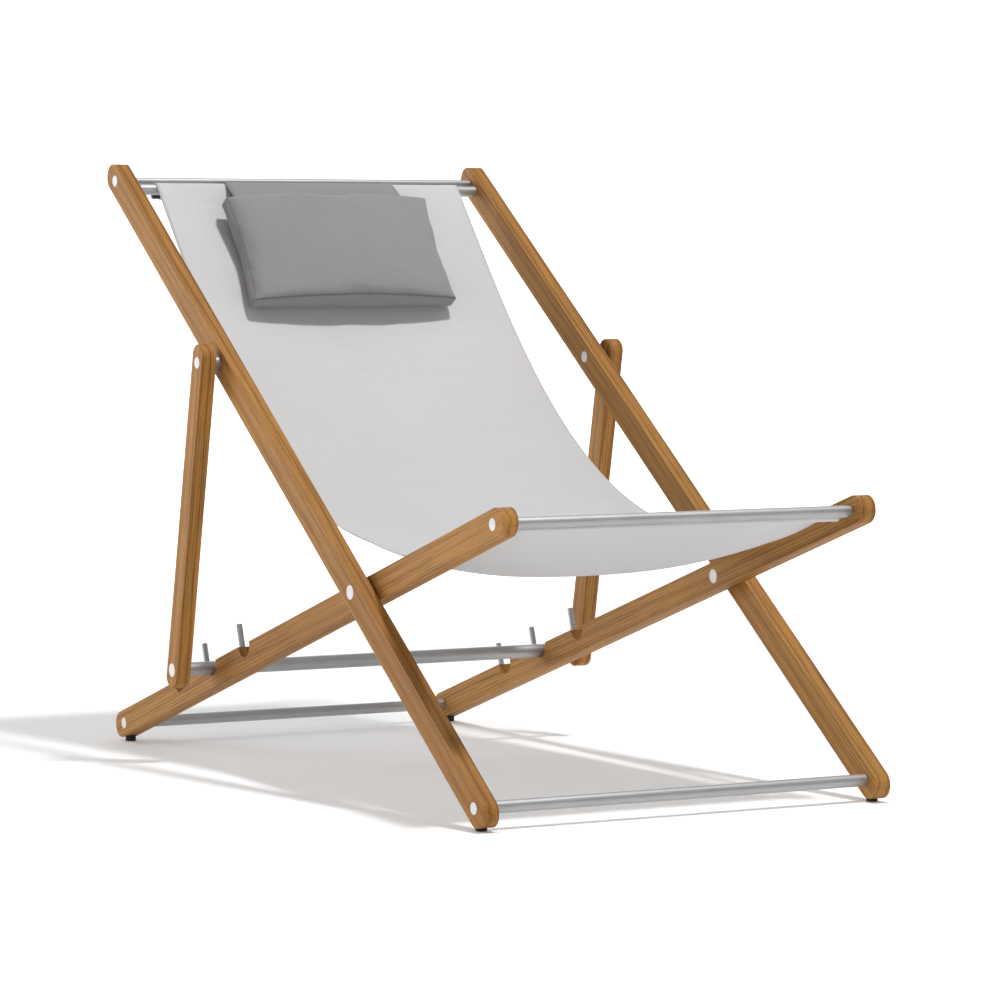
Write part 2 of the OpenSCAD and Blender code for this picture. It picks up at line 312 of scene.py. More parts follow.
class Finish(Nodes):
    """A surface finish under construction. Its constants are set on the shader's own sockets."""

    def __init__(self, name, **constants):
        self.material = bpy.data.materials.new(name)
        super().__init__(self.material)
        sockets = {key.replace("_", " "): value for key, value in constants.items()}
        self.shader = self.node("ShaderNodeBsdfPrincipled", {}, sockets)
        self.node("ShaderNodeOutputMaterial", {}, {"Surface": self.shader.outputs["BSDF"]})

    def place(self, turn=0.0, stretch=(1, 1, 1)):
        """Object coordinates turned about X into a rail's own frame, then stretched."""
        object_space = self.node("ShaderNodeTexCoord", {}, {}).outputs["Object"]
        turned_in = self.node("ShaderNodeMapping", {}, {"Vector": object_space, "Rotation": (-turn, 0, 0)})
        return self.stretched(turned_in.outputs[0], stretch)

    def facing(self, turn=0.0):
        """How squarely a surface faces each axis of a rail's own frame, 0 to 1."""
        normal = self.node("ShaderNodeTexCoord", {}, {}).outputs["Normal"]
        turned_in = self.node("ShaderNodeMapping", {}, {"Vector": normal, "Rotation": (-turn, 0, 0)})
        return [part.size() for part in self.parts(turned_in.outputs[0])]

    def stretched(self, vector, factors):
        """A vector with each part multiplied by its own factor."""
        made = self.node("ShaderNodeVectorMath", {"operation": "MULTIPLY"}, {0: vector, 1: factors})
        return made.outputs[0]

    def parts(self, vector):
        """The X, Y and Z of a vector as values."""
        made = self.node("ShaderNodeSeparateXYZ", {}, {0: vector})
        return [Value(self, made.outputs[i]) for i in range(3)]

    def cloud(self, vector, scale, detail=2.0, roughness=0.5):
        """A noise value about 0.5."""
        made = self.node("ShaderNodeTexNoise", {},
                         {"Vector": vector, "Scale": scale, "Detail": detail, "Roughness": roughness})
        return Value(self, made.outputs[0])

    def mixed(self, share, first, second):
        """The first colour at a share of 0 and the second at 1."""
        made = self.node("ShaderNodeMix", {"data_type": "RGBA"}, {0: share, 6: first, 7: second})
        return made.outputs[2]

    def bump(self, height, distance, strength=1.0):
        sockets = {"Height": height, "Distance": distance, "Strength": strength}
        self.feed("Normal", self.node("ShaderNodeBump", {}, sockets).outputs[0])

    def feed(self, socket, value):
        """Links a varying value to a socket of the shader."""
        source = value.socket if isinstance(value, Value) else value
        self.tree.links.new(source, self.shader.inputs[socket])


def scaled(shade_of, factor, lift=0.0):
    """A colour made darker or lighter, and opaque."""
    return [min(1.0, c * factor + lift) for c in shade_of[:3]] + [1]


def teak(name, tilt, timber):
    """Oiled teak whose grain runs along a rail at a tilt, and over its round ends."""
    finish = Finish(name, Specular_IOR_Level=0.22)
    x, _, z = finish.parts(finish.place(tilt))
    flank = finish.facing()[0].between(0.5, 0.85)
    depth = x * 1.15 + (z - x) * flank + 0.37
    broad = finish.cloud(finish.place(tilt, (1, 0.10, 1)), 16, 2)
    wander = finish.cloud(finish.place(tilt, (1, 0.05, 1)), 26, 3, 0.6)
    ring = (depth * (math.tau / timber.ring) + wander * 20).sine() * 0.5 + 0.5
    band = (depth * (math.tau / timber.ring * 0.31) + wander * 13).sine() * 0.5 + 0.5
    strength = finish.cloud(finish.place(tilt, (1, 0.35, 1)), 14, 1)
    late = ring ** 3 * (0.10 + strength.between(0.40, 0.62) * 0.30)
    fibre = finish.cloud(finish.place(tilt, (1, 0.014, 1)), 900, 3, 0.65)
    pores = finish.cloud(finish.place(tilt, (1, 0.05, 1)), 1900, 1)
    paleness = (broad * 0.8 + fibre * 0.5 - band * 0.18).between(0.30, 0.80)
    base = finish.mixed(paleness, timber.middle, timber.light)
    ringed = finish.mixed(late + (1 - fibre.between(0.30, 0.58)) * 0.40, base, timber.dark)
    lined = finish.mixed(band ** 22 * (0.55 - flank * 0.33), ringed, timber.dark)
    finish.feed("Base Color", finish.mixed(pores.between(0.62, 0.72) * 0.35, lined, timber.dark))
    finish.feed("Roughness", 0.46 + fibre * 0.20 + late * 0.06)
    finish.bump(fibre * 0.8 - late * 0.25 - pores.between(0.62, 0.74) * 0.8, 0.12 * MM, 0.55)
    return finish.material


def steel(name, metal, axis):
    """Brushed steel with its brush marks along an axis, 0 for across the chair."""
    finish = Finish(name, Metallic=1.0)
    stretch = [1.0, 1.0, 1.0]
    stretch[axis] = 0.008
    marks = finish.cloud(finish.place(0, stretch), 2600, 2)
    smears = finish.cloud(finish.place(), 30, 3)
    clean = (marks * 0.7 + smears * 0.3).between(0.35, 0.75)
    finish.feed("Base Color", finish.mixed(clean, scaled(metal.steel, 0.82), metal.steel))
    finish.feed("Roughness", 0.46 + marks * 0.10 + smears * 0.04)
    finish.bump(marks, 0.012 * MM, 0.4)
    return finish.material


def moulded(name, shade_of, rough, grain=0.03):
    """Moulded plastic or rubber with a fine, slightly uneven skin."""
    finish = Finish(name, Specular_IOR_Level=0.35)
    skin = finish.cloud(finish.place(), 1400, 2)
    scuff = finish.cloud(finish.place(), 60, 3)
    lighter = scaled(shade_of, 1.12, 0.006)
    finish.feed("Base Color", finish.mixed(scuff.between(0.35, 0.75), shade_of, lighter))
    finish.feed("Roughness", rough + scuff * 0.14)
    finish.bump(skin, grain * MM, 0.5)
    return finish.material


def plain_weave(first, second, pitch):
    """Height of a plain weave from two thread directions, 0 to 1."""
    over = (first * (math.pi / pitch)).sine()
    under = (second * (math.pi / pitch)).sine()
    return over.size() * 0.5 + under.size() * 0.5 + over * under * 0.25


def canvas(name, cloth):
    """The sling's cloth: a plain weave that follows the cloth's own map, with slubs both ways."""
    finish = Finish(name, Sheen_Weight=0.12, Sheen_Roughness=0.5, Specular_IOR_Level=0.2)
    flat = finish.node("ShaderNodeUVMap", {"uv_map": "cut"}, {}).outputs[0]
    wide, long, _ = finish.parts(flat)
    weave = plain_weave(wide, long, cloth.pitch)
    weft = finish.cloud(finish.stretched(flat, (7, 520, 1)), 1, 2)
    warp = finish.cloud(finish.stretched(flat, (520, 7, 1)), 1, 2)
    cloudy = finish.cloud(flat, 5, 3)
    tone = weave * 0.35 + weft * 0.42 + warp * 0.22 + cloudy * 0.25
    darker = scaled(cloth.canvas, 0.84)
    finish.feed("Base Color", finish.mixed(tone.between(0.25, 0.85), darker, cloth.canvas))
    finish.feed("Roughness", 0.82 + weft * 0.12)
    finish.bump(weave + weft * 0.7 + warp * 0.4, 0.10 * MM, 0.45)
    return finish.material


def flap_cloth(name, cloth):
    """The flap's cloth: the pillow's colour on the sling's weave."""
    finish = Finish(name, Sheen_Weight=0.18, Sheen_Roughness=0.5, Specular_IOR_Level=0.2)
    flat = finish.node("ShaderNodeUVMap", {"uv_map": "cut"}, {}).outputs[0]
    wide, long, _ = finish.parts(flat)
    weave = plain_weave(wide, long, cloth.pitch)
    weft = finish.cloud(finish.stretched(flat, (7, 520, 1)), 1, 2)
    tone = (weave * 0.4 + weft * 0.8).between(0.25, 0.85)
    finish.feed("Base Color", finish.mixed(tone, scaled(cloth.grey, 0.80), cloth.grey))
    finish.feed("Roughness", 0.84 + weft * 0.10)
    finish.bump(weave + weft * 0.6, 0.10 * MM, 0.45)
    return finish.material


def pillow_cloth(name, cloth, tilt):
    """The pillow's cloth: the same weave in three directions, so that it needs no map, and painted shade
    along its seams.
    """
    finish = Finish(name, Sheen_Weight=0.18, Sheen_Roughness=0.5, Specular_IOR_Level=0.2)
    x, y, z = finish.parts(finish.place(tilt))
    threads = [(part * (math.pi / cloth.pitch)).sine().size() * (1 - faced.between(0.5, 0.9))
               for part, faced in zip((x, y, z), finish.facing(tilt))]
    weave = (threads[0] + threads[1] + threads[2]) * 0.5
    slub = finish.cloud(finish.place(tilt, (0.03, 1, 1)), 620, 2)
    warp = finish.cloud(finish.place(tilt, (1, 0.03, 1)), 620, 2)
    cloudy = finish.cloud(finish.place(), 14, 3)
    seam = Value(finish, finish.node("ShaderNodeAttribute", {"attribute_name": "seam"}, {}).outputs["Fac"])
    tone = weave * 0.30 + slub * 0.40 + warp * 0.25 + cloudy * 0.30
    woven = finish.mixed(tone.between(0.25, 0.90), scaled(cloth.grey, 0.80), cloth.grey)
    # Painted shade: the cloth is darkened along the pinched seams, where shade falls in them.
    seam_shaded = finish.mixed(seam.between(0.55, 1.0) * 0.75, woven, scaled(cloth.grey, 0.42))
    finish.feed("Base Color", seam_shaded)
    finish.feed("Roughness", 0.84 + slub * 0.10)
    finish.bump(weave + slub * 0.6, 0.10 * MM, 0.45)
    return finish.material


FINISHES = {}


def finish_of(name, make, *given):
    """Makes a finish once, and hands out the same one after that."""
    if name not in FINISHES:
        FINISHES[name] = make(name, *given)
    return FINISHES[name]


# ---- timber ----

RAILS = {
    "back_rail_left": (BACK, "back_teak", BACK_TILT), "back_rail_right": (BACK, "back_teak", BACK_TILT),
    "seat_rail_left": (SEAT, "seat_teak", SEAT_TILT), "seat_rail_right": (SEAT, "seat_teak", SEAT_TILT),
    "prop_left": (PROP, "prop_teak", PROP_TILT), "prop_right": (PROP, "prop_teak", PROP_TILT),
}
HOLE_NEAR = 11.5 * MM
FIXINGS = ("back_caps", "seat_caps", "prop_caps", "sling_tube", "top_bar", "front_foot_tube",
           "seat_front_tube", "seat_front_bar", "rear_foot_tube", "prop_tube", "prop_pivot_nuts")


def soften(bm, timber, holes):
    """Rounds a rail's arrises, and the rims of its holes a little."""
    def is_side(face):
        return abs(face.normal.x) > 0.99

    def near_hole(edge):
        at = side((edge.verts[0].co + edge.verts[1].co) / 2)
        return any((at - hole).length < HOLE_NEAR for hole in holes)

    for rim, width, steps in ((False, timber.arris, 4), (True, timber.rim, 2)):
        bm.normal_update()
        edges = [e for e in bm.edges if len(e.link_faces) == 2 and near_hole(e) == rim
                 and is_side(e.link_faces[0]) != is_side(e.link_faces[1])
                 and e.calc_face_angle(0) > math.radians(60)]
        bmesh.ops.bevel(bm, geom=edges, offset=width, offset_type="OFFSET", segments=steps, profile=0.5,
                        affect="EDGES", clamp_overlap=True, material=-1)


class DECKCHAIR_OT_timber(bpy.types.Operator):
    """Makes the rails and props with rounded arrises"""
    bl_idname = "deckchair.timber"
    bl_label = "Rails and Props"

    def execute(self, context):
        timber = context.scene.deck_timber
        holes = [side((low + high) / 2) for node in FIXINGS for low, high in solids(node)]
        for node, (body, finish, tilt) in RAILS.items():
            bm = merged(node)
            bmesh.ops.dissolve_limit(bm, angle_limit=math.radians(0.5), verts=bm.verts, edges=bm.edges)
            soften(bm, timber, holes)
            made = piece(node + "_teak", bm, finish_of(finish, teak, tilt, timber), [node])
            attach(made, body)
        return {"FINISHED"}


# ---- metal and plastic ----

TUBES = {"sling_tube": BACK, "front_foot_tube": BACK, "seat_front_tube": SEAT, "rear_foot_tube": SEAT,
         "prop_tube": PROP}
BARS = {"top_bar": BACK, "seat_front_bar": SEAT}
HIDDEN_METAL = ("back_tube_inserts", "back_bar_screws", "prop_pivot_bolts", "prop_pivot_nuts",
                "front_foot_screws", "seat_tube_inserts", "seat_tube_screws", "frame_pivot_bolts",
                "frame_pivot_nuts", "rear_foot_screws", "prop_tube_inserts", "prop_tube_screws",
                "prop_pivot_heads")
TUBE_WALL = 1.6 * MM
SPACER_BORE = 0.56
FOOT_HOLE = 0.28
SCREW_HEAD_TALL = 1.8 * MM
SCREW_RECESS = 4.2 * MM


class DECKCHAIR_OT_metalwork(bpy.types.Operator):
    """Makes the cross tubes, bars, stop pins and spacers, and finishes the hidden fixings"""
    bl_idname = "deckchair.metalwork"
    bl_label = "Metalwork"

    def execute(self, context):
        metal = context.scene.deck_metal
        brushed = finish_of("brushed_steel", steel, metal, 0)
        for node, body in {**TUBES, **BARS}.items():
            low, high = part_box(node)
            bm = bmesh.new()
            if node in TUBES:
                bore = reach(node) - TUBE_WALL
                outline = tube_outline(low.x, high.x, reach(node), bore, metal.edge / 2)
            else:
                outline = bar_outline(low.x, high.x, reach(node), metal.edge)
            turned(bm, outline, across(side(middle(node))), metal.sides)
            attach(piece(node + "_steel", bm, brushed, [node]), body)
        self.pins(metal)
        self.spacers(metal, brushed)
        for node in HIDDEN_METAL:
            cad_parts[node].data.materials.clear()
            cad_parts[node].data.materials.append(brushed)
        return {"FINISHED"}

    def pins(self, metal):
        """The stop pins stand square to the seat rails, with rounded tips."""
        upright = Matrix.Rotation(SEAT_TILT, 4, "X")
        finish = finish_of("pin_steel", steel, metal, 2)
        for node in ("stop_pins_left", "stop_pins_right"):
            bm = bmesh.new()
            for low, high in solids(node):
                radius = (high.x - low.x) / 2
                tall = ((high.z - low.z) - 2 * radius * abs(math.sin(SEAT_TILT))) / math.cos(SEAT_TILT)
                place = Matrix.Translation((low + high) / 2) @ upright
                turned(bm, bar_outline(-tall / 2, tall / 2, radius, metal.edge), place, metal.sides)
            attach(piece(node + "_steel", bm, finish, [node]), SEAT)

    def spacers(self, metal, brushed):
        bm = bmesh.new()
        for low, high in solids("prop_spacers"):
            radius = (high.z - low.z) / 2
            outline = tube_outline(low.x, high.x, radius, radius * SPACER_BORE, metal.edge)
            turned(bm, outline, across(side((low + high) / 2)), metal.sides)
        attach(piece("prop_spacers_steel", bm, brushed, ["prop_spacers"]), BACK)


class DECKCHAIR_OT_caps(bpy.types.Operator):
    """Makes the white caps, the feet and the washers"""
    bl_idname = "deckchair.caps"
    bl_label = "Caps and Feet"

    def execute(self, context):
        metal = context.scene.deck_metal
        white = finish_of("cap_white", moulded, metal.cap, 0.38)
        rubber = finish_of("foot_rubber", moulded, metal.rubber, 0.62, 0.08)
        for node, body in (("back_caps", BACK), ("seat_caps", SEAT), ("prop_caps", PROP)):
            bm = bmesh.new()
            for low, high in solids(node):
                outline = bar_outline(low.x, high.x, (high.z - low.z) / 2, metal.edge / 2)
                turned(bm, outline, across(side((low + high) / 2)), metal.sides)
            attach(piece(node + "_white", bm, white, [node]), body)
        for node, screws, body in (("front_feet", "front_foot_screws", BACK),
                                   ("rear_feet", "rear_foot_screws", SEAT)):
            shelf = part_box(screws)[0].z + SCREW_HEAD_TALL
            bm = bmesh.new()
            for low, high in solids(node):
                radius = (high.x - low.x) / 2
                hole = FOOT_HOLE * radius
                foot = [(shelf, 0.5 * radius), (shelf, SCREW_RECESS), (low.z, SCREW_RECESS)]
                foot += rounded_end(low.z, radius, 2 * metal.edge, 1)[1:]
                foot += [(high.z, radius), (high.z, hole), (shelf, hole), foot[0]]
                place = Matrix.Translation(((low.x + high.x) / 2, (low.y + high.y) / 2, 0))
                turned(bm, foot, place, metal.sides)
            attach(piece(node + "_rubber", bm, rubber, [node]), body)
        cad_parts["frame_pivot_washers"].data.materials.clear()
        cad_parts["frame_pivot_washers"].data.materials.append(rubber)
        return {"FINISHED"}


# ---- sling ----

# The line of the sling's edges leaves each bar at an angle, with a pull of this length (metres, degrees).
TOP_PULL, TOP_LEAVE = 0.516, 47
FRONT_PULL, FRONT_LEAVE = 0.407, 24
SPAN_STEPS = 64
SLEEVE_TURN = 318
SLEEVE_FLARE = 9 * MM
SLEEVE_IN = 0.05
SLACK_END = 0.66
SAG_SPREAD = 2.6
TAPER = 0.012
EDGE_OVER = 2.5 * MM
HEM_SHARE = 0.62
ROD_IN = 5 * MM
CREASE_AT = 0.68
CREASE_REACH = 90 * MM
STILL = Vector((0, 0))


def arc(centre, radius, start, end, step=12):
    """Side-view points on a round stretch between two angles in degrees."""
    count = max(2, round(abs(end - start) / step))
    return [centre + radius * ray(start + (end - start) * i / count) for i in range(count + 1)]


def touching(first, first_r, second, second_r, turn):
    """Angle of the two points where one straight line touches both circles."""
    gap = second - first
    return math.degrees(math.atan2(gap.y, gap.x) + turn * math.acos((first_r - second_r) / gap.length))


def span(t):
    """The sling's edge line between the tubes, t from 0 at the sling tube to 1 at the front bar."""
    half = bpy.context.scene.deck_cloth.thick / 2
    start = side(middle("sling_tube")) + (reach("sling_tube") + half) * ray(90 + TOP_LEAVE)
    end = side(middle("seat_front_bar")) + (reach("seat_front_bar") + half) * ray(90 - FRONT_LEAVE)
    first = start - TOP_PULL * ray(TOP_LEAVE)
    second = end + FRONT_PULL * ray(-FRONT_LEAVE)
    back = 1 - t
    return back ** 3 * start + 3 * back ** 2 * t * first + 3 * back * t ** 2 * second + t ** 3 * end


def hang(t):
    """Share of the full sag at t: none over the bars, most under the sitter."""
    return math.sin(math.pi * min(max(t, 0), 1)) ** 0.45


def slack(t):
    """Share of the edges' own sag at t, behind the sitter's back."""
    return math.sin(math.pi * min(max(t, 0) / SLACK_END, 1)) ** 1.15


def down_from(t):
    """Unit vector square to the span, towards the back and the ground."""
    step = (span(t + 0.001) - span(t - 0.001)).normalized()
    return Vector((-step.y, step.x))


def sling_line(cloth):
    """The sling in the side view, sleeve to sleeve, as (point, sag of the middle, sag of the edges)."""
    over = reach("sling_tube") + cloth.thick / 2
    tube, rod = side(middle("sling_tube")), side(middle("sling_rod_top"))
    around = reach("sling_rod_top") + cloth.thick / 2
    leave = touching(tube, over, rod, around, 1)
    line = [(p, STILL, STILL) for p in arc(rod, around, leave - SLEEVE_TURN, leave)]
    line += [(p, STILL, STILL) for p in arc(tube, over, leave, 90 + TOP_LEAVE)[:-1]]
    for i in range(SPAN_STEPS + 1):
        t = i / SPAN_STEPS
        down = down_from(t)
        line.append((span(t), down * hang(t) * cloth.sag, down * slack(t) * cloth.slack))
    bar, rod = side(middle("seat_front_bar")), side(middle("sling_rod_front"))
    over = reach("seat_front_bar") + cloth.thick / 2
    around = reach("sling_rod_front") + cloth.thick / 2
    leave = touching(bar, over, rod, around, -1)
    line += [(p, STILL, STILL) for p in arc(bar, over, 90 - FRONT_LEAVE, leave)[1:]]
    line += [(p, STILL, STILL) for p in arc(rod, around, leave, leave + SLEEVE_TURN)]
    return line


def woven_sheet(line, stations):
    """A sheet from a side-view line, extruded across the chair by stations, with its flat map."""
    bm = bmesh.new()
    run, length_so_far = bm.verts.layers.float.new("run"), 0.0
    sags = [bm.verts.layers.float_vector.new(name) for name in ("middle", "edge")]
    chain = []
    for i, (point, *sagging) in enumerate(line):
        vert = bm.verts.new((stations[0], point.x, point.y))
        if i:
            length_so_far += (point + sagging[1] - line[i - 1][0] - line[i - 1][2]).length
        vert[run] = length_so_far
        for layer, sag in zip(sags, sagging):
            vert[layer] = (0, sag.x, sag.y)
        chain.append(vert)
    edges = [bm.edges.new(pair) for pair in zip(chain, chain[1:])]
    for near, far in zip(stations, stations[1:]):
        made = bmesh.ops.extrude_edge_only(bm, edges=edges)["geom"]
        verts = [v for v in made if isinstance(v, bmesh.types.BMVert)]
        edges = [e for e in made if isinstance(e, bmesh.types.BMEdge) and all(v in verts for v in e.verts)]
        bmesh.ops.translate(bm, vec=(far - near, 0, 0), verts=verts)
    cut = bm.loops.layers.uv.new("cut")
    for face in bm.faces:
        for loop in face.loops:
            loop[cut].uv = (loop.vert.co.x - stations[0], loop.vert[run])
    return bm, length_so_far, sags


def stations_across(half, hem, count):
    """Where the columns of threads lie, with close pairs at the hem's inner edges."""
    fold = half - hem
    inner = [fold * (2 * i / count - 1) for i in range(1, count)]
    near = 0.5 * MM
    return [-half, -half + hem / 2, -fold - near, -fold + near, *inner, fold - near, fold + near,
            half - hem / 2, half]


class DECKCHAIR_OT_sling(bpy.types.Operator):
    """Makes the sling with its hems and sleeves, and the rods in the sleeves"""
    bl_idname = "deckchair.sling"
    bl_label = "Sling"

    def execute(self, context):
        cloth, metal = context.scene.deck_cloth, context.scene.deck_metal
        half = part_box("sling_back")[1].x + EDGE_OVER
        stations = stations_across(half, cloth.hem, 26)
        bm, run, (middle_sag, edge_sag) = woven_sheet(sling_line(cloth), stations)
        layer = bm.verts.layers.float["run"]
        rod, around = side(middle("sling_rod_top")), reach("sling_rod_top") + cloth.thick / 2
        for vert in bm.verts:
            edge = abs(vert.co.x / half) ** SAG_SPREAD
            sleeve = min(1, max(0, 1 - ((side(vert.co) - rod).length - around) / SLEEVE_FLARE))
            vert.co += vert[middle_sag].lerp(vert[edge_sag], edge)
            vert.co.x *= (1 + TAPER * (1 - 2 * vert[layer] / run)) * (1 - SLEEVE_IN * sleeve)
        self.make_room(bm)
        bmesh.ops.recalc_face_normals(bm, faces=bm.faces)
        hems = {i for i, vert in enumerate(bm.verts) if abs(vert.co.x) > half - cloth.hem}
        made = piece("sling", bm, finish_of("sling_canvas", canvas, cloth),
                     ["sling_back", "sling_seat"], even=False)
        group = made.vertex_groups.new(name="folded")
        group.add(list(hems), 1.0, "REPLACE")
        skin = made.modifiers.new("Cloth thickness", "SOLIDIFY")
        skin.thickness, skin.offset = cloth.thick, 0
        skin.vertex_group, skin.thickness_vertex_group = "folded", HEM_SHARE
        for node, body in (("sling_rod_top", BACK), ("sling_rod_front", SEAT)):
            low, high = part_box(node)
            bm = bmesh.new()
            outline = bar_outline(low.x + ROD_IN, high.x - ROD_IN, reach(node), metal.edge)
            turned(bm, outline, across(side(middle(node))), metal.sides)
            black = finish_of("rod_black", moulded, metal.rubber, 0.34)
            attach(piece(node + "_black", bm, black, [node]), body)
        crease = span(CREASE_AT)
        start = Vector((0, crease.x - CREASE_REACH, crease.y))
        end = Vector((0, crease.x + CREASE_REACH, crease.y))
        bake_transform(made, SEAT, BACK, start, end)
        return {"FINISHED"}

    def make_room(self, bm):
        """Pushes the sling back where the pillow lies in it, fading out round the pillow."""
        place, half = pillow_place(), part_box("head_pillow")[1].x
        into = place.inverted()
        for vert in bm.verts:
            at = into @ vert.co
            near = Vector((max(-half - CASE_OVER, min(half + CASE_OVER, at.x)),
                           max(-CASE_OVER, min(PILLOW_TALL + CASE_OVER, at.y))))
            away = (at.xy - near).length
            back, _ = case_depths(near.x, near.y, half + CASE_OVER, PILLOW_TALL)
            need = at.z - back + PILLOW_CLEAR
            if need > 0 and away < DENT_REACH and at.z < 2 * GUSSET:
                at.z -= need * (0.5 + 0.5 * math.cos(math.pi * away / DENT_REACH))
                vert.co = place @ at


# ---- pillow ----

PILLOW_SLOPE = math.radians(57)
PILLOW_TOP = Vector((-42.3 * MM, -25.6 * MM))
PILLOW_TALL = 171 * MM
PILLOW_CLEAR = 5 * MM
CASE_OVER = 6.5 * MM
BACK_PUFF = 1.5 * MM
DENT_REACH = 75 * MM
GUSSET = 24 * MM
FRONT_BOW = 19 * MM
BACK_BOW = 3 * MM
FILL_MOVE = 8 * MM
SEAM_WIDE = 3.2 * MM
SEAM_DEEP = 2.2 * MM
LUMP = 0.7 * MM


def pillow_place():
    """The pillow's own frame: X across, Y down, Z out of its front, origin at its back top edge."""
    down = Vector((0, -math.cos(PILLOW_SLOPE), -math.sin(PILLOW_SLOPE)))
    out = Vector((0, -math.sin(PILLOW_SLOPE), math.cos(PILLOW_SLOPE)))
    top = side(middle("sling_tube")) + PILLOW_TOP
    place = Matrix.Identity(4)
    for i, column in enumerate((Vector((1, 0, 0)), down, out, Vector((0, top.x, top.y)))):
        place.col[i].xyz = column
    return place


def case_depths(x, y, half, tall):
    """Back and front of the pillow's case at (x, y), before it is filled."""
    arch = max(0.0, 1 - (x / half) ** 2)
    return (-BACK_BOW * arch * (0.15 + 0.85 * y / tall),
            GUSSET + FRONT_BOW * arch * (0.78 + 0.22 * math.sin(math.pi * y / tall)))


def pillow_case(half, tall):
    """A boxed case with straight panels, before its front is arched."""
    bm = bmesh.new()
    bmesh.ops.create_cube(bm, size=1)
    for vert in bm.verts:
        vert.co = (vert.co.x * 2 * half, (vert.co.y + 0.5) * tall, (vert.co.z + 0.5) * GUSSET)
    return bm


def seam_share(point, half, tall):
    """1 on a seam of the case and 0 away from it."""
    back, front = case_depths(point.x, point.y, half, tall)
    to_side, to_end = half - abs(point.x), min(point.y, tall - point.y)
    to_face = min(abs(point.z - back), abs(front - point.z))
    off = min(math.hypot(min(to_side, to_end), to_face), math.hypot(to_side, to_end))
    return math.exp(-(off / SEAM_WIDE) ** 2)


def filled(made, cap):
    """Blows the case up as cloth, and moves each point no further than the cap."""
    points = [v.co.copy() for v in made.data.vertices]
    cloth = made.modifiers.new("Filling", "CLOTH")
    cloth.settings.use_pressure = True
    cloth.settings.uniform_pressure_force = 4
    cloth.settings.tension_stiffness = 22
    cloth.settings.effector_weights.gravity = 0
    scene = bpy.context.scene
    for number in range(1, 21):
        scene.frame_set(number)
    moved = made.evaluated_get(bpy.context.evaluated_depsgraph_get()).data
    for i, vert in enumerate(moved.vertices):
        step = vert.co - points[i]
        if step.length > 1e-9:
            points[i] += step.normalized() * cap * math.tanh(step.length / cap)
    made.modifiers.remove(cloth)
    scene.frame_set(1)
    return points


class DECKCHAIR_OT_pillow(bpy.types.Operator):
    """Makes the head pillow: a boxed case, filled as cloth, with its seams drawn in"""
    bl_idname = "deckchair.pillow"
    bl_label = "Head Pillow"

    def execute(self, context):
        cloth = context.scene.deck_cloth
        place, half, tall = pillow_place(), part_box("head_pillow")[1].x, PILLOW_TALL
        finish = finish_of("pillow_grey", pillow_cloth, cloth, PILLOW_SLOPE)
        half, tall = half + CASE_OVER, tall + 2 * CASE_OVER
        made = piece("head_pillow_padded", pillow_case(half, tall), finish,
                     ["head_pillow"], even=False)
        remesh = made.modifiers.new("Even case", "REMESH")
        remesh.mode, remesh.voxel_size = "VOXEL", 4 * MM
        self.keep_modifiers(made)
        for vert in made.data.vertices:
            back, front = case_depths(vert.co.x, vert.co.y, half, tall)
            vert.co.z = back + (front - back) * vert.co.z / GUSSET
        seams = [seam_share(v.co, half, tall) for v in made.data.vertices]
        points = filled(made, FILL_MOVE)
        for vert, point in zip(made.data.vertices, points):
            back, _ = case_depths(vert.co.x, vert.co.y, half, tall)
            point.z = max(point.z, back - BACK_PUFF)
            vert.co = point
        made.data.update()
        normals = [v.normal.copy() for v in made.data.vertices]
        for vert, normal, seam in zip(made.data.vertices, normals, seams):
            soft = noise.noise(vert.co * 28) * LUMP
            vert.co += normal * (soft * (1 - seam) - SEAM_DEEP * seam)
        # The seam share is kept on the mesh, and the pillow's finish paints shade along the seams with it.
        attribute = made.data.attributes.new("seam", "FLOAT", "POINT")
        attribute.data.foreach_set("value", seams)
        relax = made.modifiers.new("Relaxed cloth", "SMOOTH")
        relax.factor, relax.iterations = 0.5, 6
        smooth = made.modifiers.new("Smooth cloth", "SUBSURF")
        smooth.levels = smooth.render_levels = 1
        self.keep_modifiers(made)
        made.data.transform(place @ Matrix.Translation((0, -CASE_OVER, 0)))
        for polygon in made.data.polygons:
            polygon.use_smooth = True
        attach(made, BACK)
        return {"FINISHED"}

    def keep_modifiers(self, made):
        """Replaces the mesh with what its modifiers make of it."""
        shown = made.evaluated_get(bpy.context.evaluated_depsgraph_get())
        mesh = bpy.data.meshes.new_from_object(shown)
        made.modifiers.clear()
        made.data = mesh


FLAP_HALF = 136 * MM
FLAP_THICK = 1.2 * MM
FLAP_LIFT = 90 + 38


